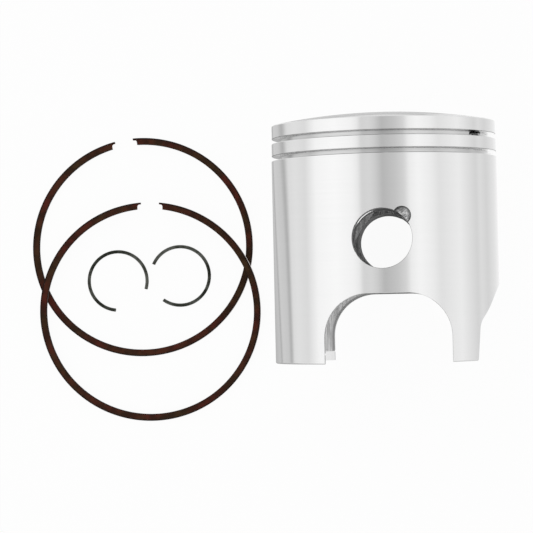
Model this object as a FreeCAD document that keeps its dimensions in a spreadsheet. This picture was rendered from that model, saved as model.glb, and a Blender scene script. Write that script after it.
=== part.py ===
import FreeCAD, Part
import math
import os

import Sketcher

from FreeCAD import Placement, Rotation, Vector

# Two-stroke piston with its two rings and two wrist-pin circlips, laid out flat beside it.
# The origin is the centre of the wrist-pin bore: +Z runs along the bore, +Y towards the crown and +X
# towards the cut-away side of the skirt. The piston lies on its side on the table, with its rings and
# circlips flat on the same table.

DIMENSIONS = [
    # piston, outside
    ("cylinderBore", 70.0),  # diameter of the cylinder that the piston runs in
    ("skirtClearance", 0.06),  # on the diameter
    ("middleLandRelief", 0.11),  # each land is smaller in radius than the skirt by this
    ("topLandRelief", 0.2),
    ("compressionHeight", 36.3),  # bore centre to the edge of the crown
    ("domeRise", 3.35),
    ("crownEdgeBreak", 0.3),
    ("skirtDrop", 37.4),  # bore centre to the bottom of the skirt
    ("skirtEdgeBreak", 0.4),
    # ring grooves
    ("topLandHeight", 4.03),
    ("middleLandHeight", 3.81),
    ("ringHeight", 1.5),
    ("ringSideClearance", 0.06),
    ("ringWall", 2.2),  # radial thickness of a ring
    ("ringBackClearance", 0.45),
    ("grooveEdgeBreak", 0.05),
    # piston, inside
    ("skirtWall", 3.3),
    ("beltWall", 6.4),  # wall behind the ring grooves
    ("beltDepth", 9.5),  # crown underside to the start of the slope into the skirt wall
    ("beltSlope", 5.0),
    ("crownThickness", 6.5),  # at the apex
    ("undersideDish", 2.2),
    ("undersideCorner", 6.0),
    ("registerHeight", 3.0),  # turned step inside the bottom of the skirt
    ("registerDepth", 0.9),
    ("bossWall", 4.6),  # around the bore
    ("bossCorner", 11.0),
    ("bossSpacing", 26.0),  # room for the small end of the rod
    ("bossRounding", 1.2),
    # wrist-pin bore
    ("wristPinDiameter", 18.0),
    ("circlipGrooveInset", 4.1),  # groove centre in from the skirt's outside, at the bore centre
    ("circlipGrooveWidth", 1.2),
    ("circlipGrooveDepth", 0.6),
    ("notchAngle", 47.0),  # circlip removal notch, from +X towards the crown
    ("notchRadius", 2.9),
    ("notchFloorRadius", 1.5),
    ("notchDepth", 6.4),
    # arches between the skirt legs, one on each side of the wrist pin
    ("archBossClearance", 2.8),  # boss to the top of the arch
    ("archLeft", 18.0),
    ("archRight", 20.25),
    ("archCorner", 13.3),
    # cut-away of the +X skirt
    ("cutawayPeak", 8.1),  # bore centre down to where its two slopes would meet
    ("cutawayPeakRadius", 18.0),
    ("cutawayKnee", 19.75),  # half width where a slope meets a leg
    ("cutawayKneeDrop", 25.85),
    ("cutawayKneeRadius", 5.0),
    ("cutawayFoot", 21.0),  # half width at the bottom of the skirt
    # ring locating pins
    ("ringPinSideClearance", 0.11),  # groove height less the pin's diameter
    ("ringPinSeat", 3.0),  # how deep a pin is pressed below the floor of its groove
    ("ringPinLipClearance", 0.2),  # between a pin's end and the lips of the ring around it
    ("ringPinEdge", 0.15),
    ("upperPinAngle", 60.3),  # from +Z towards +X
    ("lowerPinAngle", 119.7),
    # rings, which spring open to an oval when free
    ("ringSpringAcross", 1.37),  # outer half width less the cylinder's radius, across the gap direction
    ("ringSpringAlong", 0.85),  # the same along the gap direction
    ("ringGap", 6.1),  # between the lips
    ("ringLipLength", 1.15),
    ("ringLipThickness", 0.6),
    ("ringReliefRadius", 0.6),
    # round-wire circlips, free
    ("circlipWire", 1.1),
    ("circlipSpring", 1.15),  # outer radius less that of the wrist-pin bore
    ("circlipSweep", 282.0),  # degrees of wire
    # places on the table, with turns in degrees about +Z
    ("ringPistonGap", 7.3),  # front ring to the side of the piston
    ("frontRingAlong", -20.35),
    ("frontRingTurn", -1.3),
    ("backRingShiftAcross", -2.2),  # from the front ring's centre
    ("backRingShiftAlong", 21.2),
    ("backRingTurn", 8.9),
    ("ringSeatGap", 0.05),  # left where the front ring lies on the back ring
    ("circlipPairAcross", -0.3),  # middle of the pair, from the front ring's centre
    ("circlipPairAlong", 10.85),
    ("circlipPairGap", 0.3),  # between the two circles
    ("circlipPairRise", 1.2),  # the right one lies this much further along
    ("leftCirclipTurn", -17.5),
    ("rightCirclipTurn", 233.5),
    # how far a cut runs past the face that it leaves through
    ("cutOverrun", 5.0),
]

# Values worked out from the ones above, in the order that they are needed.
DERIVED = [
    ("skirtRadius", "(cylinderBore - skirtClearance) / 2"),
    ("middleLandRadius", "skirtRadius - middleLandRelief"),
    ("topLandRadius", "skirtRadius - topLandRelief"),
    ("tableHeight", "-skirtRadius"),
    ("grooveHeight", "ringHeight + ringSideClearance"),
    ("grooveFloor", "cylinderBore / 2 - ringWall - ringBackClearance"),
    ("upperGrooveTop", "compressionHeight - topLandHeight"),
    ("upperGrooveBottom", "upperGrooveTop - grooveHeight"),
    ("lowerGrooveTop", "upperGrooveBottom - middleLandHeight"),
    ("lowerGrooveBottom", "lowerGrooveTop - grooveHeight"),
    ("upperGrooveMiddle", "upperGrooveTop - grooveHeight / 2"),
    ("lowerGrooveMiddle", "lowerGrooveTop - grooveHeight / 2"),
    ("crownApex", "compressionHeight + domeRise"),
    ("undersideApex", "crownApex - crownThickness"),
    ("undersideEdge", "undersideApex - undersideDish"),
    ("beltRadius", "skirtRadius - beltWall"),
    ("wallRadius", "skirtRadius - skirtWall"),
    ("registerRadius", "wallRadius + registerDepth"),
    ("boreRadius", "wristPinDiameter / 2"),
    ("bossHalfWidth", "boreRadius + bossWall"),
    ("archTop", "bossHalfWidth + archBossClearance"),
    ("circlipGroovePlace", "skirtRadius - circlipGrooveInset"),
    ("ringPinRadius", "(grooveHeight - ringPinSideClearance) / 2"),
    ("ringPinFoot", "grooveFloor - ringPinSeat"),
    ("ringPinTip", "cylinderBore / 2 - ringLipThickness - ringPinLipClearance"),
    ("ringWide", "cylinderBore / 2 + ringSpringAcross"),
    ("ringLong", "cylinderBore / 2 + ringSpringAlong"),
    ("frontRingAcross", "-skirtRadius - ringPistonGap - ringWide"),
    ("backRingAcross", "frontRingAcross + backRingShiftAcross"),
    ("backRingAlong", "frontRingAlong + backRingShiftAlong"),
    ("ringCentreDistance", "hypot(backRingShiftAcross; backRingShiftAlong)"),
    # half the length of the patch where the two rings cross, along the line of their centres
    ("crossingReach", "ringWall * ringLong / ringCentreDistance"),
    ("frontRingSpan", "ringLong + ringCentreDistance / 2 - crossingReach"),
    ("frontRingTilt", "asin((ringHeight + ringSeatGap) / frontRingSpan)"),
    ("circlipRadius", "boreRadius + circlipSpring"),
    ("circlipStep", "circlipRadius + circlipPairGap / 2"),
    ("leftCirclipAcross", "frontRingAcross + circlipPairAcross - circlipStep"),
    ("leftCirclipAlong", "frontRingAlong + circlipPairAlong - circlipPairRise / 2"),
    ("rightCirclipAcross", "frontRingAcross + circlipPairAcross + circlipStep"),
    ("rightCirclipAlong", "frontRingAlong + circlipPairAlong + circlipPairRise / 2"),
]

SUB_PARTS = [
    "piston",
    "upper_ring_pin",
    "lower_ring_pin",
    "back_ring",
    "front_ring",
    "left_circlip",
    "right_circlip",
]

doc = FreeCAD.newDocument("PistonKit")
sheet = doc.addObject("Spreadsheet::Sheet", "Dimensions")


def fill_sheet():
    """Write each value with its name beside it, and name its cell."""
    rows = DIMENSIONS + [(name, "=" + formula) for name, formula in DERIVED]
    for row, (name, content) in enumerate(rows, start=1):
        sheet.set(f"A{row}", name)
        sheet.set(f"B{row}", str(content))
        sheet.setAlias(f"B{row}", name)
    doc.recompute()


def bound(formula):
    """A formula on the sheet's names as an expression that other objects can hold."""
    words = sorted({name for name, _ in DIMENSIONS + DERIVED}, key=len, reverse=True)
    text = ""
    word = ""
    for letter in str(formula) + " ":
        if letter.isalnum():
            word += letter
            continue
        text += f"Dimensions.{word}" if word in words else word
        text += letter
        word = ""
    return text.strip()


def value(formula):
    """What a formula on the sheet's names comes to."""
    result = sheet.evalExpression(bound(formula))
    return float(getattr(result, "Value", result))


def bind(item, path, formula):
    item.setExpression(path, bound(formula))


def new_body(label):
    body = doc.addObject("PartDesign::Body", label)
    body.Label = label
    return body


def origin_plane(body, role):
    return next(item for item in body.Origin.OriginFeatures if item.Role == role)


def new_sketch(body, name, role, lift=None):
    """A sketch on one of the body's origin planes, raised along the plane's normal if asked."""
    sketch = body.newObject("Sketcher::SketchObject", name)
    sketch.AttachmentSupport = [(origin_plane(body, role), "")]
    sketch.MapMode = "FlatFace"
    if lift:
        bind(sketch, "AttachmentOffset.Base.z", lift)
    return sketch


def constrain(sketch, *terms, formula=None):
    """Add a constraint, and tie its size to a formula if it has one."""
    if formula is None:
        sketch.addConstraint(Sketcher.Constraint(*terms))
        return
    index = sketch.addConstraint(Sketcher.Constraint(*terms, value(formula)))
    bind(sketch, f"Constraints[{index}]", formula)


def hold_point(sketch, element, point, across, along):
    """Tie a point to the sketch's axes."""
    for kind, formula, axis in (("DistanceX", across, -2), ("DistanceY", along, -1)):
        if formula == "0":
            constrain(sketch, "PointOnObject", element, point, axis)
        else:
            constrain(sketch, kind, element, point, formula=formula)


def outline(sketch, corners):
    """Draw a closed outline.

    Each corner is (across, along) for a sharp one, (across, along, radius) for a rounded one, or
    (across, along, "centred") for a sharp one from which an arc with its centre on the sketch's
    vertical axis runs to the next corner. Rounded corners stand between straight runs.
    """
    places = [Vector(value(corner[0]), value(corner[1]), 0) for corner in corners]
    count = len(corners)
    kinds = [corner[2] if len(corner) > 2 else None for corner in corners]
    starts = list(places)
    ends = list(places)
    arcs = {}
    for i in range(count):
        if kinds[i] in (None, "centred"):
            continue
        back = (places[i - 1] - places[i]).normalize()
        ahead = (places[(i + 1) % count] - places[i]).normalize()
        half = back.getAngle(ahead) / 2
        radius = value(kinds[i])
        reach = radius / math.tan(half)
        centre = places[i] + (back + ahead).normalize() * (radius / math.sin(half))
        ends[i] = places[i] + back * reach
        starts[i] = places[i] + ahead * reach
        arcs[i] = centre
    runs = []
    for i in range(count):
        start = starts[i]
        end = ends[(i + 1) % count]
        if kinds[i] == "centred":
            slope = (end.y - start.y) / (start.x - end.x)
            middle = (start + end) / 2
            centre = Vector(0, middle.y - middle.x / slope, 0)
            runs.append(add_arc(sketch, centre, start, end))
            constrain(sketch, "PointOnObject", runs[-1][0], 3, -2)
        else:
            runs.append((sketch.addGeometry(Part.LineSegment(start, end), False), 1, 2))
    for i in range(count):
        before, _, before_end = runs[i - 1]
        after, after_start, _ = runs[i]
        if i not in arcs:
            constrain(sketch, "Coincident", before, before_end, after, after_start)
            hold_point(sketch, after, after_start, corners[i][0], corners[i][1])
            continue
        corner = sketch.addGeometry(Part.Point(places[i]), True)
        constrain(sketch, "PointOnObject", corner, 1, before)
        constrain(sketch, "PointOnObject", corner, 1, after)
        hold_point(sketch, corner, 1, corners[i][0], corners[i][1])
        arc, arc_start, arc_end = add_arc(sketch, arcs[i], ends[i], starts[i])
        constrain(sketch, "Tangent", before, before_end, arc, arc_start)
        constrain(sketch, "Tangent", arc, arc_end, after, after_start)
        constrain(sketch, "Radius", arc, formula=kinds[i])


def add_arc(sketch, centre, start, end):
    """Add the shorter arc from start to end; give its number and which of its ends is which."""
    first = math.atan2(start.y - centre.y, start.x - centre.x)
    last = math.atan2(end.y - centre.y, end.x - centre.x)
    radius = (start - centre).Length
    circle = Part.Circle(centre, Vector(0, 0, 1), radius)
    if (last - first) % (2 * math.pi) < math.pi:
        return sketch.addGeometry(Part.ArcOfCircle(circle, first, last), False), 1, 2
    return sketch.addGeometry(Part.ArcOfCircle(circle, last, first), False), 2, 1


def circle(sketch, across, along, radius):
    place = Vector(value(across), value(along), 0)
    shape = Part.Circle(place, Vector(0, 0, 1), value(radius))
    number = sketch.addGeometry(shape, False)
    hold_point(sketch, number, 3, across, along)
    constrain(sketch, "Radius", number, formula=radius)


def ellipse(sketch, half_width, half_height):
    """An ellipse about the sketch's origin."""
    shape = Part.Ellipse(Vector(value(half_width), 0, 0), Vector(0, value(half_height), 0), Vector(0, 0, 0))
    number = sketch.addGeometry(shape, False)
    sketch.exposeInternalGeometry(number)
    constrain(sketch, "Coincident", number, 3, -1, 1)
    constrain(sketch, "Horizontal", number + 1)
    constrain(sketch, "Distance", number + 1, formula=f"({half_width}) * 2")
    constrain(sketch, "Distance", number + 2, formula=f"({half_height}) * 2")


def pad(body, sketch, length):
    feature = body.newObject("PartDesign::Pad", sketch.Name + "_pad")
    feature.Profile = sketch
    bind(feature, "Length", length)
    sketch.Visibility = False
    return feature


def pocket(body, sketch, through=None, depth=None):
    """Cut a sketch out of the body: through "both" sides, through along "ahead", its normal, or to a
    depth along its normal."""
    before = body.Tip.Shape.Volume
    feature = body.newObject("PartDesign::Pocket", sketch.Name + "_pocket")
    feature.Profile = sketch
    if depth:
        bind(feature, "Length", depth)
    else:
        feature.Type = "ThroughAll"
    feature.Midplane = through == "both"
    feature.Reversed = through != "both"
    doc.recompute()
    require_cut(feature, before)
    return feature


def turn(body, sketch, kind, axis, angle="360"):
    """Revolve a sketch about one of its own axes, to add ("Revolution") or to cut ("Groove")."""
    before = body.Tip.Shape.Volume if body.Tip else 0.0
    feature = body.newObject("PartDesign::" + kind, sketch.Name + "_turned")
    feature.Profile = sketch
    feature.ReferenceAxis = (sketch, [axis])
    bind(feature, "Angle", angle)
    doc.recompute()
    if kind == "Groove":
        require_cut(feature, before)
    return feature


def mirror(body, feature, role):
    """Repeat a feature on the other side of an origin plane."""
    before = feature.Shape.Volume
    copy = body.newObject("PartDesign::Mirrored", feature.Name + "_mirrored")
    copy.Originals = [feature]
    copy.MirrorPlane = (origin_plane(body, role), [""])
    body.Tip = copy
    doc.recompute()
    require_cut(copy, before)
    return copy


def require_cut(feature, volume_before):
    if not feature.Shape.Volume < volume_before - 1e-3:
        raise RuntimeError(f"{feature.Name} cuts nothing")


def round_edges(body, kind, name, size, wanted):
    """Fillet or chamfer the edges of the body's tip that a test picks."""
    tip = body.Tip
    names = [f"Edge{i}" for i, edge in enumerate(tip.Shape.Edges, start=1) if wanted(edge)]
    if not names:
        raise RuntimeError(f"{name} finds no edge")
    feature = body.newObject("PartDesign::" + kind, name)
    feature.Base = (tip, names)
    bind(feature, "Radius" if kind == "Fillet" else "Size", size)
    doc.recompute()
    return feature


def aim_outwards(item, path, radius, height, angle):
    """Place something at a radius from the piston's axis, its own Z pointing away from that axis.

    The angle is measured from +Z towards +X, and the height is along the axis.
    """
    setattr(item, path, Placement(Vector(0, 0, 0), Rotation(Vector(0, 1, 0), value(angle))))
    bind(item, path + ".Rotation.Angle", angle)
    bind(item, path + ".Base.x", f"{radius} * sin({angle} * 1deg)")
    bind(item, path + ".Base.y", height)
    bind(item, path + ".Base.z", f"{radius} * cos({angle} * 1deg)")


def make_core():
    """The hollow inside the piston as a solid, less the two wrist-pin bosses."""
    core = new_body("piston_core")
    profile = new_sketch(core, "core_profile", "XY_Plane")
    outline(profile, [
        ("0", "undersideApex", "centred"),
        ("beltRadius", "undersideEdge"),
        ("beltRadius", "undersideEdge - beltDepth"),
        ("wallRadius", "undersideEdge - beltDepth - beltSlope"),
        ("wallRadius", "registerHeight - skirtDrop"),
        ("registerRadius", "registerHeight - skirtDrop"),
        ("registerRadius", "-skirtDrop - cutOverrun"),
        ("0", "-skirtDrop - cutOverrun"),
    ])
    turn(core, profile, "Revolution", "V_Axis")
    round_edges(core, "Fillet", "underside_corner", "undersideCorner", is_underside_corner)
    boss = new_sketch(core, "boss_outline", "XY_Plane", lift="bossSpacing / 2")
    outline(boss, [
        ("-bossHalfWidth", "crownApex"),
        ("-bossHalfWidth", "-bossHalfWidth", "bossCorner"),
        ("bossHalfWidth", "-bossHalfWidth", "bossCorner"),
        ("bossHalfWidth", "crownApex"),
    ])
    mirror(core, pocket(core, boss, through="ahead"), "XY_Plane")
    round_edges(core, "Fillet", "boss_rounding", "bossRounding", is_boss_face_edge)
    return core


def is_underside_corner(edge):
    middle = edge.BoundBox.Center
    level = abs(middle.y - value("undersideEdge")) < 1e-4
    return level and edge.BoundBox.YLength < 1e-4 and edge.BoundBox.XLength > value("beltRadius")


def is_boss_face_edge(edge):
    box = edge.BoundBox
    flat = box.ZLength < 1e-4 and abs(abs(box.Center.z) - value("bossSpacing / 2")) < 1e-4
    return flat and box.Center.y < value("undersideEdge - undersideCorner")


def make_piston():
    core = make_core()
    piston = new_body("piston")
    profile = new_sketch(piston, "outer_profile", "XY_Plane")
    outline(profile, [
        ("0", "crownApex", "centred"),
        ("topLandRadius - crownEdgeBreak", "compressionHeight"),
        ("topLandRadius", "compressionHeight - crownEdgeBreak"),
        ("topLandRadius", "upperGrooveTop + grooveEdgeBreak"),
        ("topLandRadius - grooveEdgeBreak", "upperGrooveTop"),
        ("grooveFloor", "upperGrooveTop"),
        ("grooveFloor", "upperGrooveBottom"),
        ("middleLandRadius - grooveEdgeBreak", "upperGrooveBottom"),
        ("middleLandRadius", "upperGrooveBottom - grooveEdgeBreak"),
        ("middleLandRadius", "lowerGrooveTop + grooveEdgeBreak"),
        ("middleLandRadius - grooveEdgeBreak", "lowerGrooveTop"),
        ("grooveFloor", "lowerGrooveTop"),
        ("grooveFloor", "lowerGrooveBottom"),
        ("skirtRadius - grooveEdgeBreak", "lowerGrooveBottom"),
        ("skirtRadius", "lowerGrooveBottom - grooveEdgeBreak"),
        ("skirtRadius", "skirtEdgeBreak - skirtDrop"),
        ("skirtRadius - skirtEdgeBreak", "-skirtDrop"),
        ("0", "-skirtDrop"),
    ])
    turn(piston, profile, "Revolution", "V_Axis")
    hollow = piston.newObject("PartDesign::Boolean", "hollow")
    hollow.Type = "Cut"
    hollow.setObjects([core])
    doc.recompute()
    cut_bore(piston)
    cut_skirt(piston)
    for ring in ("upper", "lower"):
        seat = new_sketch(piston, ring + "_pin_seat", "XY_Plane")
        aim_outwards(seat, "AttachmentOffset", "ringPinFoot", ring + "GrooveMiddle", ring + "PinAngle")
        circle(seat, "0", "0", "ringPinRadius")
        pocket(piston, seat, depth="ringPinSeat + cutOverrun")
    return piston


def cut_bore(piston):
    bore = new_sketch(piston, "wrist_pin_bore", "XY_Plane")
    circle(bore, "0", "0", "boreRadius")
    pocket(piston, bore, through="both")
    groove = new_sketch(piston, "circlip_groove", "XZ_Plane")
    inner = "circlipGroovePlace - circlipGrooveWidth / 2"
    outer = "circlipGroovePlace + circlipGrooveWidth / 2"
    outline(groove, [
        ("boreRadius - cutOverrun", inner),
        ("boreRadius + circlipGrooveDepth", inner),
        ("boreRadius + circlipGrooveDepth", outer),
        ("boreRadius - cutOverrun", outer),
    ])
    mirror(piston, turn(piston, groove, "Groove", "V_Axis"), "XY_Plane")
    notch = piston.newObject("PartDesign::SubtractiveCone", "circlip_notch")
    bind(notch, "Radius1", "notchFloorRadius")
    bind(notch, "Radius2", "notchRadius")
    bind(notch, "Height", "notchDepth")
    bind(notch, "Placement.Base.x", "boreRadius * cos(notchAngle * 1deg)")
    bind(notch, "Placement.Base.y", "boreRadius * sin(notchAngle * 1deg)")
    bind(notch, "Placement.Base.z", "skirtRadius - notchDepth")
    doc.recompute()
    mirror(piston, notch, "XY_Plane")


def cut_skirt(piston):
    arch = new_sketch(piston, "arch", "XY_Plane")
    outline(arch, [
        ("-archLeft", "-skirtDrop - cutOverrun"),
        ("-archLeft", "-archTop", "archCorner"),
        ("archRight", "-archTop", "archCorner"),
        ("archRight", "-skirtDrop - cutOverrun"),
    ])
    pocket(piston, arch, through="both")
    cutaway = new_sketch(piston, "cutaway", "YZ_Plane")
    outline(cutaway, [
        ("-cutawayPeak", "0", "cutawayPeakRadius"),
        ("-cutawayKneeDrop", "cutawayKnee", "cutawayKneeRadius"),
        ("-skirtDrop", "cutawayFoot"),
        ("-skirtDrop - cutOverrun", "cutawayFoot"),
        ("-skirtDrop - cutOverrun", "-cutawayFoot"),
        ("-skirtDrop", "-cutawayFoot"),
        ("-cutawayKneeDrop", "-cutawayKnee", "cutawayKneeRadius"),
    ])
    pocket(piston, cutaway, through="ahead")


def is_outer_end(edge):
    return edge.BoundBox.ZMin > value("ringPinTip - ringPinFoot") / 2


def make_ring_pin(ring):
    """A small steel pin that keeps the ring's ends from turning."""
    pin = new_body(ring + "_ring_pin")
    section = new_sketch(pin, ring + "_pin_section", "XY_Plane")
    circle(section, "0", "0", "ringPinRadius")
    pad(pin, section, "ringPinTip - ringPinFoot")
    doc.recompute()
    round_edges(pin, "Chamfer", ring + "_pin_edge", "ringPinEdge", is_outer_end)
    aim_outwards(pin, "Placement", "ringPinFoot", ring + "GrooveMiddle", ring + "PinAngle")


def make_ring(side):
    """A piston ring in its free shape: a flat oval band with a gap, lipped where the pin sits."""
    ring = new_body(side + "_ring")
    band = new_sketch(ring, side + "_ring_band", "XY_Plane")
    ellipse(band, "ringWide", "ringLong")
    ellipse(band, "ringWide - ringWall", "ringLong - ringWall")
    pad(ring, band, "ringHeight")
    doc.recompute()
    gap = new_sketch(ring, side + "_ring_gap", "XY_Plane")
    lip = "ringLong - ringLipThickness"
    outline(gap, [
        ("-ringGap / 2", "ringLong + cutOverrun"),
        ("-ringGap / 2", lip),
        ("-ringGap / 2 - ringLipLength", lip, "ringReliefRadius"),
        ("-ringGap / 2 - ringLipLength", "ringLong - ringWall - cutOverrun"),
        ("ringGap / 2 + ringLipLength", "ringLong - ringWall - cutOverrun"),
        ("ringGap / 2 + ringLipLength", lip, "ringReliefRadius"),
        ("ringGap / 2", lip),
        ("ringGap / 2", "ringLong + cutOverrun"),
    ])
    pocket(ring, gap, through="both")
    bind(ring, "Placement.Base.x", side + "RingAcross")
    bind(ring, "Placement.Base.y", side + "RingAlong")
    return ring


def lay_back_ring():
    """Flat on the table."""
    ring = make_ring("back")
    ring.Placement = Placement(Vector(0, 0, 0), Rotation(Vector(0, 0, 1), value("backRingTurn")))
    bind(ring, "Placement.Rotation.Angle", "backRingTurn")
    bind(ring, "Placement.Base.z", "tableHeight")


def lay_front_ring():
    """Leaning: its near rim is on the table, and it lies on the back ring where the two cross."""
    ring = make_ring("front")
    turned = Rotation(Vector(0, 0, 1), value("frontRingTurn"))
    hinge = Vector(value("backRingShiftAlong"), -value("backRingShiftAcross"), 0)
    leaned = Rotation(hinge, value("frontRingTilt"))
    ring.Placement = Placement(Vector(0, 0, 0), leaned.multiply(turned))
    bind(ring, "Placement.Base.z", "tableHeight + ringLong * sin(frontRingTilt)")


def make_circlip(side):
    """Round spring wire bent to most of a circle, flat on the table."""
    clip = new_body(side + "_circlip")
    wire = new_sketch(clip, side + "_circlip_wire", "XZ_Plane")
    circle(wire, "circlipRadius - circlipWire / 2", "0", "circlipWire / 2")
    turn(clip, wire, "Revolution", "V_Axis", angle="circlipSweep")
    angle = side + "CirclipTurn"
    clip.Placement = Placement(Vector(0, 0, 0), Rotation(Vector(0, 0, 1), value(angle)))
    bind(clip, "Placement.Rotation.Angle", angle)
    bind(clip, "Placement.Base.x", side + "CirclipAcross")
    bind(clip, "Placement.Base.y", side + "CirclipAlong")
    bind(clip, "Placement.Base.z", "tableHeight + circlipWire / 2")


def check_document():
    """Stop if any object failed, or a sub-part has no whole shape."""
    for item in doc.Objects:
        if any(word in ("Invalid", "Error") for word in item.State):
            raise RuntimeError(f"{item.Name} failed: {item.State}")
    for label in SUB_PARTS:
        shape = doc.getObjectsByLabel(label)[0].Shape
        if shape.isNull() or not shape.isValid() or len(shape.Solids) != 1:
            raise RuntimeError(f"{label} is not one whole solid")


def write_parts():
    os.makedirs("parts", exist_ok=True)
    for label in SUB_PARTS:
        shape = doc.getObjectsByLabel(label)[0].Shape
        shape.exportStep(f"parts/{label}.step")
        box = shape.BoundBox
        print(f"{label}: volume {shape.Volume:.2f} mm3,"
              f" x {box.XMin:.2f} to {box.XMax:.2f}, y {box.YMin:.2f} to {box.YMax:.2f},"
              f" z {box.ZMin:.2f} to {box.ZMax:.2f}")


fill_sheet()
make_piston()
make_ring_pin("upper")
make_ring_pin("lower")
lay_back_ring()
lay_front_ring()
make_circlip("left")
make_circlip("right")
doc.recompute()
check_document()
write_parts()
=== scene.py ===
import math

import bpy
import numpy as np
from mathutils import Matrix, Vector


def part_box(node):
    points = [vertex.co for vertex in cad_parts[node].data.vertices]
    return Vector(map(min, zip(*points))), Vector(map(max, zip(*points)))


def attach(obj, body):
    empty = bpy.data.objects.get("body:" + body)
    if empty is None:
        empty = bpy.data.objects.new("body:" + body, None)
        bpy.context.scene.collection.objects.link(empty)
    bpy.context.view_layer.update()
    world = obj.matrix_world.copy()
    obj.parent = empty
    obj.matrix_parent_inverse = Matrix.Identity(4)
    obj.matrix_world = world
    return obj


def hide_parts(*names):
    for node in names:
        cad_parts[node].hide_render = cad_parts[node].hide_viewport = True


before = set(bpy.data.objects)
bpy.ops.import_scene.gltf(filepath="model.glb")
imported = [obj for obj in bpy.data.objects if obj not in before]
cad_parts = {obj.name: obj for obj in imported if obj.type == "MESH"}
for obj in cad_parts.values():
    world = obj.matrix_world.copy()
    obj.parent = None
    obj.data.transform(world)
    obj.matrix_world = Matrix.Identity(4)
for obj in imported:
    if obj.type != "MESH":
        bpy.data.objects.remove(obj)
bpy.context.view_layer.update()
millimetre = 0.001  # sizes below are in millimetres and angles in degrees, as on a maker's drawing
beyond = 45.0  # outside the piston on every side, where cutters end
hidden = 0.1  # rounding of the corners that end up inside metal or air
core = 1.0  # radius of the last ring of points before a turned shape is closed


def cadBox(node):
    low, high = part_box(node)
    return np.array(low) / millimetre, np.array(high) / millimetre


def unit(vectors):
    return vectors / np.linalg.norm(vectors, axis=-1, keepdims=True)


def roundedRuns(corners, closed=True, steps=6):
    # straight runs between (x, y, radius) corners, each rounded by a circle that touches both its runs
    corners = np.array(corners, float)
    places = corners[:, :2]
    back = unit(np.roll(places, 1, 0) - places)
    ahead = unit(np.roll(places, -1, 0) - places)
    half = np.arccos(np.clip((back * ahead).sum(1), -1, 1))[:, None] / 2
    radii = corners[:, 2:]
    centres = places + unit(back + ahead) * radii / np.sin(half)
    starts = (places + back * radii / np.tan(half) - centres)[:, None]
    ends = (places + ahead * radii / np.tan(half) - centres)[:, None]
    sweep = (np.pi - 2 * half)[:, None]
    part = np.linspace(0, 1, steps)[None, :, None]
    arcs = starts * np.sin((1 - part) * sweep) + ends * np.sin(part * sweep)
    arcs = centres[:, None] + arcs / np.sin(sweep)
    if closed:
        return arcs.reshape(-1, 2)
    return np.vstack([places[:1], arcs[1:-1].reshape(-1, 2), places[-1:]])


def splitRuns(points, most):
    # the same line with no two neighbours further apart than asked
    runs = np.diff(points, axis=0)
    counts = np.maximum(1, np.ceil(np.linalg.norm(runs, axis=1) / most)).astype(int)
    first = np.repeat(np.arange(len(runs)), counts)
    share = (np.arange(len(first)) - np.repeat(np.cumsum(counts) - counts, counts)) / counts[first]
    return np.vstack([points[first] + runs[first] * share[:, None], points[-1:]])


def closedRuns(corners, steps, most):
    # a rounded outline, split finely
    outline = roundedRuns(corners, steps=steps)
    return splitRuns(np.vstack([outline, outline[:1]]), most)[:-1]


def outwardNormals(points):
    # across the line through each point's two neighbours, away from the outline's inside
    along = unit(np.roll(points, -1, 0) - np.roll(points, 1, 0))
    normals = np.stack([along[:, 1], -along[:, 0]], -1)
    x, y = points.T
    area = (x * np.roll(y, -1) - y * np.roll(x, -1)).sum()
    return normals * np.sign(area)


def turnedRings(profile, steps, axis="y"):
    # each (radius, height) of a profile carried round an axis as a ring of points
    angle = np.arange(steps) * 2 * np.pi / steps
    radius = np.asarray(profile)[:, :1]
    height = np.asarray(profile)[:, 1:] + 0 * angle
    across, upward = radius * np.sin(angle), radius * np.cos(angle)
    if axis == "y":
        return np.stack([across, height, upward], -1)
    return np.stack([across, upward, height], -1)


def makeMesh(name, points, faces):
    mesh = bpy.data.meshes.new(name)
    mesh.from_pydata(points.tolist(), [], faces)
    mesh.update()
    piece = bpy.data.objects.new(name, mesh)
    bpy.context.scene.collection.objects.link(piece)
    return piece


def closedSurface(name, rings, ladder=False):
    # a grid of rings joined into a skin, its two ends closed by a fan to the ring's middle or, as a
    # ladder, by rungs between the ring's first half and its second half
    count, around = rings.shape[:2]
    points = rings.reshape(-1, 3)
    if not ladder:
        points = np.vstack([points, rings[:1].mean(1), rings[-1:].mean(1)])
    index = np.arange(count * around).reshape(count, around)
    beside = np.roll(index, -1, 1)
    skin = np.stack([index[:-1], index[1:], beside[1:], beside[:-1]], -1).reshape(-1, 4)
    ends = []
    for ring, flip, middle in ((index[0], 1, count * around), (index[-1], -1, count * around + 1)):
        if ladder:
            top, bottom = ring[:around // 2], ring[::-1][:around // 2]
            end = np.stack([top[:-1], top[1:], bottom[1:], bottom[:-1]], -1)
        else:
            end = np.stack([np.full(around, middle), ring, np.roll(ring, -1)], -1)
        ends.append(end[:, ::flip])
    # the volume's sign says whether the faces look outwards, and a fan's last corner counts twice in it
    whole = np.vstack([skin] + [end[:, [0, 1, 2, -1]] for end in ends])
    a, b, c, d = (points[whole[:, k]] for k in range(4))
    volume = (a * np.cross(b, c)).sum() + (a * np.cross(c, d)).sum()
    faces = [face for group in (skin, *ends) for face in group[:, ::1 if volume > 0 else -1].tolist()]
    return makeMesh(name, points, faces)


def carve(piece, cutters):
    # cut solids out of a piece one after another, and keep the result as its mesh
    for cutter in cutters:
        cut = piece.modifiers.new(cutter.name, "BOOLEAN")
        cut.operation = "DIFFERENCE"
        cut.solver = "MANIFOLD"
        cut.object = cutter
    result = piece.evaluated_get(bpy.context.evaluated_depsgraph_get())
    mesh = bpy.data.meshes.new_from_object(result)
    piece.modifiers.clear()
    piece.data = mesh
    for cutter in cutters:
        bpy.data.objects.remove(cutter)


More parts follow.
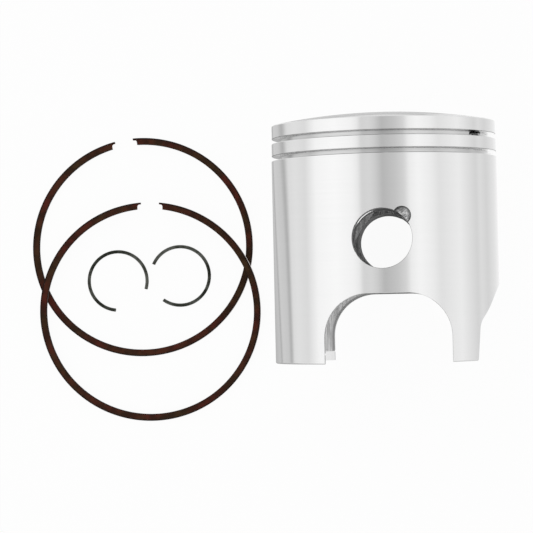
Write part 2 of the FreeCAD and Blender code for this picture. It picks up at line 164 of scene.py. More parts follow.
def finishPiece(piece, body, replaced, finishes, zones):
    # scale to metres, give each face the finish of its zone, and ride the piece on its body
    sharpAngle = 28  # faces that meet at more than this are shaded apart
    mesh = piece.data
    mesh.transform(Matrix.Scale(millimetre, 4))
    mesh.materials.clear()
    for finish in finishes:
        mesh.materials.append(finish)
    mesh.polygons.foreach_set("material_index", np.asarray(zones, np.int32))
    mesh.shade_smooth()
    mesh.set_sharp_from_angle(angle=math.radians(sharpAngle))
    mesh.update()
    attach(piece, body)
    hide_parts(replaced)


def faceFacts(piece):
    # the middle and the outward direction of each face
    mesh = piece.data
    centres = np.empty(len(mesh.polygons) * 3, np.float32)
    normals = np.empty(len(mesh.polygons) * 3, np.float32)
    mesh.polygons.foreach_get("center", centres)
    mesh.polygons.foreach_get("normal", normals)
    return centres.reshape(-1, 3).astype(float), normals.reshape(-1, 3).astype(float)


class Signal:
    # one socket's value in a sum, where each operation adds a Math node
    def __init__(self, finish, socket):
        self.finish = finish
        self.socket = socket

    def __add__(self, other):
        return self.finish.maths("ADD", self, other)

    def __sub__(self, other):
        return self.finish.maths("SUBTRACT", self, other)

    def __rsub__(self, other):
        return self.finish.maths("SUBTRACT", other, self)

    def __mul__(self, other):
        return self.finish.maths("MULTIPLY", self, other)

    def __truediv__(self, other):
        return self.finish.maths("DIVIDE", self, other)

    def ramp(self, low, high):
        # 0 up to the low value, 1 from the high one, and a smooth rise between them
        return self.finish.add("ShaderNodeMapRange", {"interpolation_type": "SMOOTHSTEP"},
                               {"Value": self, "From Min": low, "From Max": high})


def paint(level):
    # a grey level, or red, green and blue, as a colour
    return (*np.broadcast_to(level, 3).tolist(), 1)


def setStops(ramp, stops):
    # a colour ramp's stops, as (place, colour) in order
    while len(ramp.elements) > 1:
        ramp.elements.remove(ramp.elements[0])
    for place, colour in stops[1:]:
        ramp.elements.new(place).color = colour
    ramp.elements[0].position, ramp.elements[0].color = stops[0]


def rough(marks, look):
    added, least = look["roughness"]
    return marks * added + least


class Finish:
    # the node tree of one material, or of the world
    def __init__(self, owner):
        self.owner = owner
        owner.use_nodes = True
        self.tree = owner.node_tree
        self.tree.nodes.clear()

    def add(self, kind, settings={}, values={}, out=0):
        # one node: its settings, then the values or links of its sockets
        node = self.tree.nodes.new(kind)
        for name, setting in settings.items():
            if name == "stops":
                setStops(node.color_ramp, setting)
            else:
                setattr(node, name, setting)
        for name, value in values.items():
            if isinstance(value, Signal):
                self.tree.links.new(value.socket, node.inputs[name])
            else:
                node.inputs[name].default_value = value
        if isinstance(out, tuple):
            return [Signal(self, node.outputs[name]) for name in out]
        return Signal(self, node.outputs[out]) if len(node.outputs) else None

    def maths(self, operation, *terms):
        return self.add("ShaderNodeMath", {"operation": operation}, dict(enumerate(terms)))

    def length(self, across, along):
        return self.maths("SQRT", across * across + along * along)

    def place(self):
        # where the point is, in millimetres
        vector = self.add("ShaderNodeTexCoord", out="Object")
        return self.add("ShaderNodeVectorMath", {"operation": "SCALE"}, {0: vector, "Scale": 1 / millimetre})

    def split(self, vector):
        return self.add("ShaderNodeSeparateXYZ", {}, {0: vector}, ("X", "Y", "Z"))

    def noise(self, vector, scale, detail, roughness, stretch=(1, 1, 1)):
        mapped = self.add("ShaderNodeMapping", {}, {"Vector": vector, "Scale": stretch})
        return self.add("ShaderNodeTexNoise", {},
                        {"Vector": mapped, "Scale": scale, "Detail": detail, "Roughness": roughness})

    def blend(self, share, *ends):
        # from one colour to another, where a bare number is a grey
        first, second = (end if isinstance(end, Signal) else paint(end) for end in ends)
        return self.add("ShaderNodeMix", {"data_type": "RGBA"}, {"Factor": share, 6: first, 7: second}, 2)

    def bump(self, height, look):
        # relief whose height of 1 stands this many millimetres proud
        return self.add("ShaderNodeBump", {},
                        {"Height": height, "Strength": 1.0, "Distance": look["relief"] * millimetre})

    def surface(self, values):
        shader = self.add("ShaderNodeBsdfPrincipled", {}, values)
        self.add("ShaderNodeOutputMaterial", {}, {"Surface": shader})
        return self.owner


# In the looks below a noise is (scale, detail, roughness) and may end with its stretch along x, y and z,
# levels go from dark to bright over the spread of the noise's range, and roughness is what the noise
# adds and the least value.
turned = {
    "fine": (1.0, 2.0, 0.6),
    "fineLines": (5.0, 9.0, 0.05),  # changes per millimetre out from the axis, along it and round it
    "coarse": (1.0, 1.0, 0.5),
    "coarseLines": (1.4, 2.4, 0.02),
    "fineShare": 0.6,
    "spread": (0.3, 0.7),
    "levels": (0.912, 0.93),
    "crownSpread": (0.35, 0.65),
    "crownLevels": (0.78, 0.95),
    "crownFade": 0.3,
    "crownRelief": 4,  # how much of the relief is added there
    # the groove floors' levels, darker than the lands as painted shade
    "grooveLevels": (0.6, 0.78),
    "grooveFade": (0.1, 0.5),  # how far out from a groove's floor its level lasts
    "grooveEnds": (0.5, 1.0),  # and how far above and below both grooves
    "shadeLevel": 0.58,
    "shadeFade": (0.6, 0.3),  # how far below a groove's top the shade starts and is full
    "shadeEnd": (0.2, 0.4),
    "stakes": (1.6, 1.0, 0.5),  # the metal staked over the upper ring pin
    "stakeSpread": (0.47, 0.53),
    "stakeLevels": (0.12, 1.0),
    "stakeFade": (2.4, 3.2),  # distance from the pin
    "roughness": (0.03, 0.08),
    "relief": 0.0002,
}


def turningLines(finish, place, pitch, noise):
    # noise that changes quickly along the y axis and out from it, and slowly the way round
    x, y, z = finish.split(place)
    outward, along, around = pitch
    lines = {"X": x * around + finish.length(x, z) * outward, "Y": y * along, "Z": z * around}
    return finish.noise(finish.add("ShaderNodeCombineXYZ", {}, lines), *noise)


def turnedAluminium(part, look):
    # bright with fine lines, plainer to see on the crown. The floors of the ring grooves are darker, a
    # painted shade of their recess, and darkest at the top, a painted shadow under each groove's upper wall
    finish = Finish(bpy.data.materials.new("turned aluminium"))
    place = finish.place()
    x, y, z = finish.split(place)
    reach = finish.length(x, z)
    fine = turningLines(finish, place, look["fineLines"], look["fine"])
    coarse = turningLines(finish, place, look["coarseLines"], look["coarse"])
    lines = fine * look["fineShare"] + coarse * (1 - look["fineShare"])
    upperTop, upperFoot, lowerTop, lowerFoot = grooveLevels(part)
    floor = part["grooveFloor"]
    (near, far), (close, away) = look["grooveFade"], look["grooveEnds"]
    grooveShadeMask = (1 - reach.ramp(floor + near, floor + far)) * y.ramp(lowerFoot - away, lowerFoot - close)
    grooveShadeMask = grooveShadeMask * (1 - y.ramp(upperTop + close, upperTop + away))
    (start, full), (ending, over) = look["shadeFade"], look["shadeEnd"]
    lowerShade = y.ramp(lowerTop - start, lowerTop - full) * (1 - y.ramp(lowerTop + ending, lowerTop + over))
    shade = y.ramp(upperTop - start, upperTop - full) + lowerShade
    crown = y.ramp(part["crownEdge"], part["crownEdge"] + look["crownFade"])
    bright = finish.blend(lines.ramp(*look["spread"]), *look["levels"])
    bright = finish.blend(crown, bright, finish.blend(lines.ramp(*look["crownSpread"]), *look["crownLevels"]))
    # painted shade: the groove floors are darker than the lands
    shadedFloor = finish.blend(lines.ramp(*look["spread"]), *look["grooveLevels"])
    angle = math.radians(part["upperPinAngle"])
    pin = (floor * math.sin(angle), (upperTop + upperFoot) / 2, floor * math.cos(angle))
    beside = finish.add("ShaderNodeVectorMath", {"operation": "DISTANCE"}, {0: place, 1: pin}, "Value")
    stakes = finish.noise(place, *look["stakes"]).ramp(*look["stakeSpread"])
    staked = finish.blend(stakes, *look["stakeLevels"])
    shadedFloor = finish.blend(1 - beside.ramp(*look["stakeFade"]), shadedFloor, staked)
    return finish.surface({
        "Base Color": finish.blend(grooveShadeMask, bright, finish.blend(shade, shadedFloor, look["shadeLevel"])),
        "Metallic": 1.0,
        "Roughness": rough(lines, look),
        "Normal": finish.bump(lines * (crown * look["crownRelief"] + 1), look),
    })


milled = {
    "marks": (1.0, 2.0, 0.6, (1.5, 6.0, 1.5)),
    "spread": (0.3, 0.7),
    "levels": (0.2, 0.36),
    "roughness": (0.15, 0.28),
    "relief": 0.01,
}
shadedGrooveEdges = {  # the broken edge over each ring groove and the corner in its floor, dark as painted shade
    "marks": (1.0, 2.0, 0.6, (0.3, 3.0, 0.3)),
    "spread": (0.3, 0.7),
    "levels": (0.22, 0.42),
    "roughness": (0.1, 0.3),
    "relief": 0.002,
}
lapped = {
    "marks": (1.0, 2.0, 0.6, (0.3, 0.3, 9.0)),
    "levels": ((0.42, 0.36, 0.33), (0.62, 0.56, 0.53)),
    "roughness": (0.1, 0.25),
    "relief": 0.001,
}


def markedMetal(name, look):
    # bare metal whose level, roughness and relief all follow its marks
    finish = Finish(bpy.data.materials.new(name))
    marks = finish.noise(finish.place(), *look["marks"])
    share = marks.ramp(*look["spread"]) if "spread" in look else marks
    return finish.surface({
        "Base Color": finish.blend(share, *look["levels"]),
        "Metallic": 1.0,
        "Roughness": rough(marks, look),
        "Normal": finish.bump(marks, look),
    })


cast = {
    "grain": (2.4, 5.0, 0.6),
    "scrape": (1.0, 3.0, 0.6, (2.2, 0.12, 2.2)),
    "spread": (0.35, 0.65),
    "levels": (0.58, 0.9),
    "archShadeLevel": 0.4,
    "archShadeFade": (1.0, 0.4),  # how far inside the arch's edge it starts, and outside it begins to end
    "metallic": 0.85,
    "roughness": (0.2, 0.42),
    "relief": 0.06,
}


def castAluminium(part, look):
    # as cast, scraped along the y axis, with painted shade along the arch's left edge: its distance from the
    # edge is that from the centre of the arch's corner, less the corner's radius
    finish = Finish(bpy.data.materials.new("cast aluminium"))
    place = finish.place()
    x, y = finish.split(place)[:2]
    grain = finish.noise(place, *look["grain"])
    scrape = finish.noise(place, *look["scrape"])
    corner = part["archCorner"]
    across = finish.maths("MAXIMUM", corner - part["archLeft"] - x, 0.0)
    upward = finish.maths("MAXIMUM", y + part["archTop"] + corner, 0.0)
    reach = finish.length(across, upward)
    fade, rim = look["archShadeFade"]
    # painted shade along the inside of the arch's edge
    archEdgeShade = reach.ramp(corner - fade, corner) * (1 - reach.ramp(corner + rim, corner + fade))
    bare = finish.blend(scrape.ramp(*look["spread"]), *look["levels"])
    return finish.surface({
        "Base Color": finish.blend(archEdgeShade, bare, look["archShadeLevel"]),
        "Metallic": look["metallic"],
        "Roughness": rough(grain, look),
        "Normal": finish.bump(grain, look),
    })


honed = {
    "marks": (1.0, 2.0, 0.6, (0.6, 0.6, 7.0)),
    "spread": (0.35, 0.65),
    "levels": (0.07, 0.11),
    "mouthLevels": (0.2, 0.28),
    "mouthFade": 2.0,
    "glintFade": 0.5,  # at the two ends of the painted highlight
    "glintSides": (0.9, 0.98),  # cosines of the angle from its middle
    "glintLevel": 1.0,
    "glintRoughness": 0.4,  # how much less rough it is there
    "roughness": (0.1, 0.45),
    "specular": 0.06,
    "relief": 0.003,
}


def honedBore(part, look):
    # dull from honing, and dark; darker still deeper in as painted shade, lighter at its mouth and on the
    # boss's inner face as painted light, with one stretch near the upper end given a painted highlight
    finish = Finish(bpy.data.materials.new("honed bore"))
    place = finish.place()
    x, y, z = finish.split(place)
    marks = finish.noise(place, *look["marks"])
    angle = math.radians(part["glintAngle"])
    side = (x * math.cos(angle) + y * math.sin(angle)) / part["bore"]
    start, end, fade = part["glintFrom"], part["glintTo"], look["glintFade"]
    # painted highlight: a bright, shiny stretch only on the side where the glint shows
    glint = z.ramp(start - fade, start) * (1 - z.ramp(end, end + fade)) * side.ramp(*look["glintSides"])
    dark = finish.blend(marks.ramp(*look["spread"]), *look["levels"])
    light = finish.blend(marks.ramp(*look["spread"]), *look["mouthLevels"])
    # painted light on the boss's inner face and at the mouth, painted shade on the bore between them
    face = part["bossSpacing"] / 2 + part["bossRounding"]
    wall = finish.blend(finish.maths("ABSOLUTE", z).ramp(face, face + fade), light, dark)
    mouth, fade = part["boreMouth"], look["mouthFade"]
    wall = finish.blend(z.ramp(mouth - fade, mouth + fade), wall, light)
    return finish.surface({
        "Base Color": finish.blend(glint, wall, look["glintLevel"]),
        "Metallic": glint,
        "Roughness": rough(marks, look) - glint * look["glintRoughness"],
        "Specular IOR Level": look["specular"],
        "Normal": finish.bump(marks, look),
    })


gouged = {
    "chatter": (1.3, 3.0, 0.7),
    "spread": (0.35, 0.6),
    "levels": (0.3, 1.0),
    "wallShadeLevel": 0.06,
    "wallShadeFade": (0.75, 0.35),  # how far inside the notch's radius the painted shade on its wall starts and is full
    "roughness": (0.2, 0.2),
    "relief": 0.12,
}


def gougedNotch(part, look):
    # bright chattered metal in the circlip notch, with painted shade on its wall where it comes up to the
    # skirt
    finish = Finish(bpy.data.materials.new("gouged notch"))
    place = finish.place()
    x, y = finish.split(place)[:2]
    angle = math.radians(part["notchAngle"])
    reach = finish.length(x - part["bore"] * math.cos(angle), y - part["bore"] * math.sin(angle))
    chatter = finish.noise(place, *look["chatter"])
    bright = finish.blend(chatter.ramp(*look["spread"]), *look["levels"])
    start, full = look["wallShadeFade"]
    # painted shade on the notch's wall
    wall = reach.ramp(part["notchRadius"] - start, part["notchRadius"] - full)
    return finish.surface({
        "Base Color": finish.blend(wall, bright, look["wallShadeLevel"]),
        "Metallic": 1.0,
        "Roughness": rough(chatter, look),
        "Normal": finish.bump(chatter, look),
    })


brown = {
    "tint": (0.09, 3.0, 0.55),
    "grain": (3.0, 3.0, 0.6),
    "patch": (0.35, 3.0, 0.6),
    "spread": (0.35, 0.65),
    "levels": ((0.052, 0.027, 0.012), (0.086, 0.018, 0.0115)),
    "patchLevel": (0.022, 0.011, 0.007),
    "patchShare": 0.7,
    "rimShadeLevel": (0.016, 0.010, 0.008),
    "outerRimShade": (0.1, 0.7),  # depths over which the painted shade at the outer edge fades out
    "innerRimShade": (0.35, 0.1),  # and the painted shade at the inner edge: its start inside the wall and end past it
    "roughness": (0.2, 0.5),
    "specular": 0.06,
    "relief": 0.01,
}


def phosphate(part, look):
    # brown phosphate over iron, with painted shade, nearly black, along the edges of the flat faces
    finish = Finish(bpy.data.materials.new("brown phosphate"))
    place = finish.place()
    depth = finish.add("ShaderNodeAttribute", {"attribute_name": "depth"}, out="Fac")
    tint, grain, patch = (finish.noise(place, *look[name]) for name in ("tint", "grain", "patch"))
    start, end = look["innerRimShade"]
    inner = depth.ramp(part["wall"] - start, part["wall"] + end)
    # painted shade near both rims of the flat faces
    middle = depth.ramp(*look["outerRimShade"]) * (1 - inner)
    tinted = finish.blend(tint.ramp(*look["spread"]), *look["levels"])
    patched = finish.blend(patch.ramp(*look["spread"]) * look["patchShare"], tinted, look["patchLevel"])
    return finish.surface({
        "Base Color": finish.blend(middle, look["rimShadeLevel"], patched),
        "Roughness": rough(grain, look),
        "Specular IOR Level": look["specular"],
        "Normal": finish.bump(grain, look),
    })


oiled = {
    "mottle": (0.25, 3.0, 0.6),
    "grain": (3.0, 2.0, 0.6),
    "spread": (0.35, 0.65),
    "levels": ((0.028, 0.031, 0.024), (0.12, 0.125, 0.11)),
    "roughness": (0.15, 0.3),
    "relief": 0.004,
}


def springWire(look):
    # nearly black, with paler patches where the oil is thin
    finish = Finish(bpy.data.materials.new("oiled spring wire"))
    place = finish.place()
    mottle = finish.noise(place, *look["mottle"])
    grain = finish.noise(place, *look["grain"])
    return finish.surface({
        "Base Color": finish.blend(mottle.ramp(*look["spread"]), *look["levels"]),
        "Metallic": 1.0,
        "Roughness": rough(grain, look),
        "Normal": finish.bump(grain, look),
    })


ground = {
    "marks": (4.0, 2.0, 0.6),
    "levels": (0.3, 0.7),
    "pinShadeLevel": 0.02,
    "pinShadeFade": (0.3, 0.2),  # how far below the upper groove's middle the steel's own grey is full, and how far above it the painted shade is full
    "roughness": (0.1, 0.25),
    "relief": 0.003,
}


def pinSteel(part, look):
    # painted shade, nearly black, under the groove's upper wall, and the steel's own grey below
    finish = Finish(bpy.data.materials.new("ground steel"))
    place = finish.place()
    height = finish.split(place)[1]
    marks = finish.noise(place, *look["marks"])
    middle, (full, end) = sum(grooveLevels(part)[:2]) / 2, look["pinShadeFade"]
    # painted shade on the pin under the groove's upper wall
    litBelow = 1 - height.ramp(middle - full, middle + end)
    return finish.surface({
        "Base Color": finish.blend(litBelow, look["pinShadeLevel"], finish.blend(marks, *look["levels"])),
        "Metallic": 1.0,
        "Roughness": rough(marks, look),
        "Normal": finish.bump(marks, look),
    })


piston = {
    "crownEdge": 36.3,  # height of the crown's edge above the bore's centre
    "crownRounding": 0.25,
    "crownRise": 1.0,  # at the axis, of the slope that the crown's edge is rounded into
    "topLand": 34.77,  # radii
    "middleLand": 34.86,
    "grooveFloor": 32.35,
    "topLandHeight": 4.03,
    "middleLandHeight": 3.81,
    "grooveHeight": 1.56,
    "edge": 0.12,  # how far sharp edges are rounded
    "grooveBreak": 0.14,  # the same over each ring groove
    "grooveCorner": 0.3,  # the same in its floor
    "footEdge": 0.4,
    "wall": 31.67,  # radii of the hollow
    "belt": 28.57,
    "register": 32.57,
    "registerHeight": 3.0,
    "hollowRounding": 2.0,
    "undersideApex": 33.15,
    "undersideEdge": 30.95,
    "undersideCorner": 6.0,
    "undersideDrop": 0.5,  # at the axis, of the slope that the underside's corner is rounded into
    "beltFoot": 21.45,
    "wallTop": 16.45,
    "bossSpacing": 26.0,
    "bossHalfWidth": 13.6,
    "bossCorner": 11.0,
    "bossTop": 1.0,  # rounding inside the crown's metal
    "bossRounding": 1.2,
    "bore": 9.0,
    "boreEdge": 0.1,
    "boreMouth": 26.0,  # above here the bore is lighter, as painted light
    "glintFrom": 22.5,  # heights of the painted highlight, a bright stretch inside the upper end of the bore
    "glintTo": 26.5,
    "glintAngle": 130.0,
    "boreFace": 10.7,  # radius of the machined ring round the bore inside the piston, which takes the bore's painted light
    "circlipGroove": 9.6,
    "circlipGrooveWidth": 1.2,
    "circlipGrooveInset": 4.1,
    "circlipGrooveCorner": 0.25,
    "notchAngle": 47.0,
    "notchRadius": 2.9,
    "notchFloorRadius": 1.5,
    "notchDepth": 6.4,
    "notchPast": 8.0,  # how far its cutter goes past the skirt
    "archLeft": 18.0,
    "archRight": 20.25,
    "archTop": 16.4,
    "archCorner": 13.3,
    "cutEdge": 0.12,
    "cutRow": 0.5,  # no two points along the arch or the cut-away are further apart
    "cutawayStart": 16.0,
    "cutawayPeak": 8.1,
    "cutawayPeakRadius": 18.0,
    "cutawayKnee": 19.75,
    "cutawayKneeDrop": 25.85,
    "cutawayKneeRadius": 5.0,
    "cutawayFoot": 21.0,
    "cutawayFootRadius": 2.0,
    "pastFoot": 5.0,  # how far the cutters go past the foot
    "pastCorner": 0.2,
    "pinSeat": 0.725,
    "pinFoot": 29.35,
    "pinPast": 40.0,  # where its cutter ends, outside the skirt
    "upperPinAngle": 60.3,
    "lowerPinAngle": 119.7,
    "rowHeight": 3.5,  # no two rings of points on the outside are further apart
    "around": 480,  # points round the outside, and below it round smaller turned shapes
    "inside": 240,
    "notchAround": 64,
    "seatAround": 32,
    "domeRings": 40,
    "dishRings": 16,
    "hollowSteps": 10,  # points along each rounded corner
    "bossSteps": 24,
    "rimSteps": 7,
    "archSteps": 40,
    "cutawaySteps": 24,
}


def domePoints(apex, edge, radius, count):
    # a circle's arc, as (radius, height) from near the axis to the rim
    ball = (radius ** 2 + (apex - edge) ** 2) / (2 * (apex - edge))
    reach = np.linspace(radius / count, radius, count)
    return np.stack([reach, apex - ball + np.sqrt(ball ** 2 - reach ** 2)], -1)


def grooveLevels(part):
    # the top and foot of the upper ring groove, then those of the lower one
    upperTop = part["crownEdge"] - part["topLandHeight"]
    upperFoot = upperTop - part["grooveHeight"]
    lowerTop = upperFoot - part["middleLandHeight"]
    return upperTop, upperFoot, lowerTop, lowerTop - part["grooveHeight"]


def pistonOutside(part, apex, skirt, foot):
    # the turned outside: crown, lands, grooves and skirt, with the bottom closed
    upperTop, upperFoot, lowerTop, lowerFoot = grooveLevels(part)
    dome = domePoints(apex, part["crownEdge"], part["topLand"], part["domeRings"])
    side = roundedRuns([
        (0, part["crownEdge"] + part["crownRise"], hidden),
        (part["topLand"], part["crownEdge"], part["crownRounding"]),
        (part["topLand"], upperTop, part["grooveBreak"]),
        (part["grooveFloor"], upperTop, part["grooveCorner"]),
        (part["grooveFloor"], upperFoot, part["grooveCorner"]),
        (part["middleLand"], upperFoot, part["edge"]),
        (part["middleLand"], lowerTop, part["grooveBreak"]),
        (part["grooveFloor"], lowerTop, part["grooveCorner"]),
        (part["grooveFloor"], lowerFoot, part["grooveCorner"]),
        (skirt, lowerFoot, part["edge"]),
        (skirt, foot, part["footEdge"]),
        (core, foot, hidden),
    ], closed=False)
    dome = dome[dome[:, 0] < side[1, 0] - 0.05]  # so that the last ring is clear of the rounded edge
    return np.vstack([dome, splitRuns(side[1:], part["rowHeight"])])


def pistonHollow(part, foot):
    # the turned inside: dished underside, belt, wall and register, open past the foot
    past = foot - part["pastFoot"]
    runs = roundedRuns([
        (0, part["undersideApex"] - part["undersideDrop"], hidden),
        (part["belt"], part["undersideEdge"], part["undersideCorner"]),
        (part["belt"], part["beltFoot"], part["hollowRounding"]),
        (part["wall"], part["wallTop"], part["hollowRounding"]),
        (part["wall"], foot + part["registerHeight"], hidden),
        (part["register"], foot + part["registerHeight"], hidden),
        (part["register"], past, hidden),
    ], closed=False, steps=part["hollowSteps"])
    dish = domePoints(part["undersideApex"], part["undersideEdge"], part["belt"], part["dishRings"])
    dish = dish[dish[:, 0] < runs[1, 0] - 0.5]  # so that the last ring is clear of the rounded corner
    return np.vstack([dish, runs[1:], [(core, past)]])


def bossSolid(part, side, apex):
    # a boss as a prism along z, whose inner face has a rounded rim
    half, corner, top = part["bossHalfWidth"], part["bossCorner"], part["bossTop"]
    left = [(-half, apex, top), (-half, -half, corner)]
    right = [(half, -half, corner), (half, apex, top)]
    outline = roundedRuns(left + right, steps=part["bossSteps"])
    outward = outwardNormals(outline)
    turn = np.linspace(0, np.pi / 2, part["rimSteps"])[:, None]
    inset = part["bossRounding"] * (1 - np.sin(turn))
    depth = part["bossSpacing"] / 2 + part["bossRounding"] * (1 - np.cos(turn))
    inset = np.vstack([inset, [[0]]])
    depth = np.vstack([depth, [[beyond]]])
    flat = outline[None] - outward[None] * inset[..., None]
    height = side * depth[..., None] * np.ones((1, len(outline), 1))
    return closedSurface("boss", np.concatenate([flat, height], -1))


def throughCut(name, outline, skirt, edge, start=None):
    # an outline carried along z both ways, or along x from a start: straight inside the wall, then flared
    # where it comes out of the round skirt, so that it leaves a small bevel along its edge
    upright = start is None
    outward = outwardNormals(outline)
    across = outline[:, 0] if upright else outline[:, 1]
    leaving = np.sqrt(skirt ** 2 - across ** 2)
    bare = np.zeros(len(outline))
    upper = [(bare, leaving - edge), (bare + 2 * edge, leaving + edge), (bare + 2 * edge, bare + beyond)]
    lower = [(grow, -depth) for grow, depth in upper[::-1]] if upright else [(bare, bare + start)]
    rings = []
    for grow, depth in lower + upper:
        flat = (outline + outward * grow[:, None]).T
        rings.append(np.stack((*flat, depth) if upright else (depth, *flat), -1))
    return closedSurface(name, np.array(rings))


def boreCut(part, skirt):
    # a circle carried along z
    angle = np.arange(part["inside"]) * 2 * np.pi / part["inside"]
    outline = np.stack([np.cos(angle), np.sin(angle)], -1) * part["bore"]
    return throughCut("boreCut", outline, skirt, part["boreEdge"])


def archCut(part, skirt, foot):
    # the opening between the legs of the skirt, with unequal sides
    past = foot - part["pastFoot"]
    outline = closedRuns([
        (-part["archLeft"], past, part["pastCorner"]),
        (-part["archLeft"], -part["archTop"], part["archCorner"]),
        (part["archRight"], -part["archTop"], part["archCorner"]),
        (part["archRight"], past, part["pastCorner"]),
    ], part["archSteps"], part["cutRow"])
    return throughCut("archCut", outline, skirt, part["cutEdge"])


def cutawayCut(part, skirt, foot):
    # the opening on the cut-away side, even about the middle: half of it in order, then mirrored
    past = foot - part["pastFoot"]
    half = np.array([
        (-part["cutawayKneeDrop"], part["cutawayKnee"], part["cutawayKneeRadius"]),
        (foot, part["cutawayFoot"], part["cutawayFootRadius"]),
        (past, part["cutawayFoot"], part["pastCorner"]),
    ])
    peak = [(-part["cutawayPeak"], 0, part["cutawayPeakRadius"])]
    corners = np.vstack([peak, half, half[::-1] * (1, -1, 1)])
    outline = closedRuns(corners, part["cutawaySteps"], part["cutRow"])
    return throughCut("cutawayCut", outline, skirt, part["cutEdge"], part["cutawayStart"])


def clipGrooveCut(part, side, skirt):
    # a groove with rounded corners, turned about the bore's axis near one of its ends
    middle = side * (skirt - part["circlipGrooveInset"])
    half, corner = part["circlipGrooveWidth"] / 2, part["circlipGrooveCorner"]
    profile = roundedRuns([
        (core, middle - half, hidden), (part["circlipGroove"], middle - half, corner),
        (part["circlipGroove"], middle + half, corner), (core, middle + half, hidden),
    ], closed=False)
    return closedSurface("clipGrooveCut", turnedRings(profile, part["inside"], axis="z"))


def notchCut(part, side, skirt):
    # a cone that narrows towards the middle of the piston, centred on the bore's wall, with its small end's
    # edge just broken
    angle = math.radians(part["notchAngle"])
    wide, narrow, foot = part["notchRadius"], part["notchFloorRadius"], skirt - part["notchDepth"]
    slope = (wide - narrow) / part["notchDepth"]
    past = part["notchPast"]
    profile = [(narrow * 0.98, foot), (narrow, foot + 0.05), (wide + slope * past, skirt + past)]
    rings = turnedRings(profile, part["notchAround"], axis="z")
    rings[..., 2] *= side
    rings[..., 0] += part["bore"] * math.cos(angle)
    rings[..., 1] += part["bore"] * math.sin(angle)
    return closedSurface("notchCut", rings)


def seatCut(part, height, degrees):
    # the round seat of a ring pin, from its foot out past the groove's floor
    profile = [(part["pinSeat"], part["pinFoot"]), (part["pinSeat"], part["pinPast"])]
    rings = turnedRings(profile, part["seatAround"], axis="z")
    angle = math.radians(degrees)
    outward, across = rings[..., 2], rings[..., 0]
    placed = np.stack([outward * math.sin(angle) + across * math.cos(angle), rings[..., 1] + height,
                       outward * math.cos(angle) - across * math.sin(angle)], -1)
    return closedSurface("seatCut", placed)


def makePiston(part):
    low, high = cadBox("piston")
    skirt, apex, foot = high[0], high[1], low[1]
    body = closedSurface("turnedPiston", turnedRings(pistonOutside(part, apex, skirt, foot), part["around"]))
    hollow = closedSurface("hollow", turnedRings(pistonHollow(part, foot), part["inside"]))
    carve(hollow, [bossSolid(part, side, apex) for side in (-1, 1)])
    upperTop, upperFoot, lowerTop, lowerFoot = grooveLevels(part)
    carve(body, [
        hollow, boreCut(part, skirt),
        *(clipGrooveCut(part, side, skirt) for side in (-1, 1)),
        *(notchCut(part, side, skirt) for side in (-1, 1)),
        archCut(part, skirt, foot), cutawayCut(part, skirt, foot),
        seatCut(part, (upperTop + upperFoot) / 2, part["upperPinAngle"]),
        seatCut(part, (lowerTop + lowerFoot) / 2, part["lowerPinAngle"]),
    ])
    zones = pistonZones(part, zoning, body, skirt, foot)
    finishes = [turnedAluminium(part, turned), markedMetal("milled aluminium", milled),
                castAluminium(part, cast), honedBore(part, honed),
                markedMetal("groove edges with painted shade", shadedGrooveEdges), gougedNotch(part, gouged)]
    finishPiece(body, "piston", "piston", finishes, zones)
    setTurnedNormals(part, zoning, body, zones, apex)
    print("piston:", len(body.data.polygons), "faces")


# the order of the piston's finishes
turnedZone, milledZone, castZone, boreZone, grooveShadeZone, notchZone = range(6)

zoning = {
    "near": 0.05,  # how far a face's middle may be from the surface that it is on
    "close": 0.02,  # the same where two surfaces are close together
    "beltFoot": 0.2,  # how far below the lower ring groove its edge reaches
    "skirtDepth": 0.4,  # bevels this far under the skirt's surface are part of it
    "crownDepth": 1.0,
    "outward": 0.55,  # cosines of the angle from straight out
    "straightOut": 0.95,
    "inward": -0.9,
    "boreOutward": 0.6,
    # cosines of the angle between the way a face looks and the piston's axis, then the bore's
    "wall": 0.15,
    "flat": 0.97,
    "domed": 0.9,
    "bored": 0.1,
    "notchFloor": 0.5,
    "cornerReach": 0.5,  # how far out from a groove's floor its corner reaches
    "boreFaceDepth": 0.1,
    "notchDepth": 1.2,  # how far under its floor a notch's faces reach
    "notchEdge": 0.01,
}


